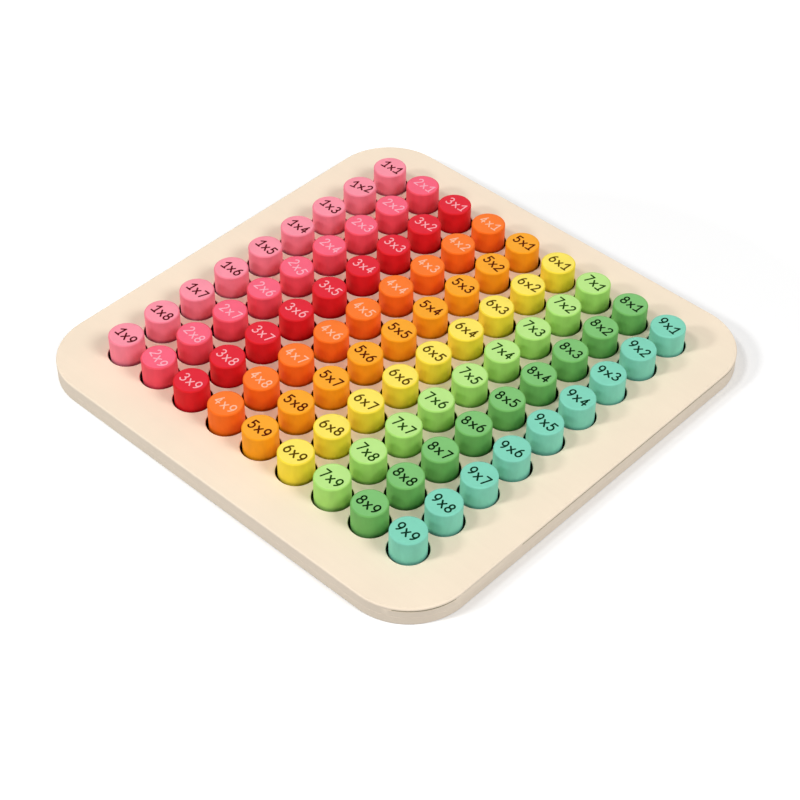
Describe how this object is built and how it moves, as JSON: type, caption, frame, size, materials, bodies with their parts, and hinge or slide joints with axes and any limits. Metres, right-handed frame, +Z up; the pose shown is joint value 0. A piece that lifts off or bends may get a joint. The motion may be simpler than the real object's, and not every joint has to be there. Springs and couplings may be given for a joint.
{
  "type": "multiplication bead board",
  "caption": "Square two-layer wooden board with a grid of round holes that hold loose turned beads, coloured by column and printed with sums.",
  "frame": {"origin": "middle of the underside of the base board, where it rests on a table", "axes": "+Z up out of the holes; the first number of a sum grows along +X, the second along -Y, so the sum of one times one is at the -X, +Y corner"},
  "size_m": [0.22, 0.22, 0.0192],
  "materials": {
    "board": "smooth cream paint, satin",
    "base": "smooth cream paint, satin",
    "light_pink_paint": "satin light pink paint on turned wood",
    "rose_paint": "satin rose paint on turned wood",
    "red_paint": "satin red paint on turned wood",
    "orange_paint": "satin orange paint on turned wood",
    "amber_paint": "satin amber paint on turned wood",
    "yellow_paint": "satin yellow paint on turned wood",
    "light_green_paint": "satin light green paint on turned wood",
    "green_paint": "satin green paint on turned wood",
    "mint_paint": "satin mint paint on turned wood"
  },
  "bodies": {
    "root": {"hole_board": "board", "base_board": "base", "light_pink_beads": "light_pink_paint", "rose_beads": "rose_paint", "red_beads": "red_paint", "orange_beads": "orange_paint", "amber_beads": "amber_paint", "yellow_beads": "yellow_paint", "light_green_beads": "light_green_paint", "green_beads": "green_paint", "mint_beads": "mint_paint"}
  },
  "joints": []
}
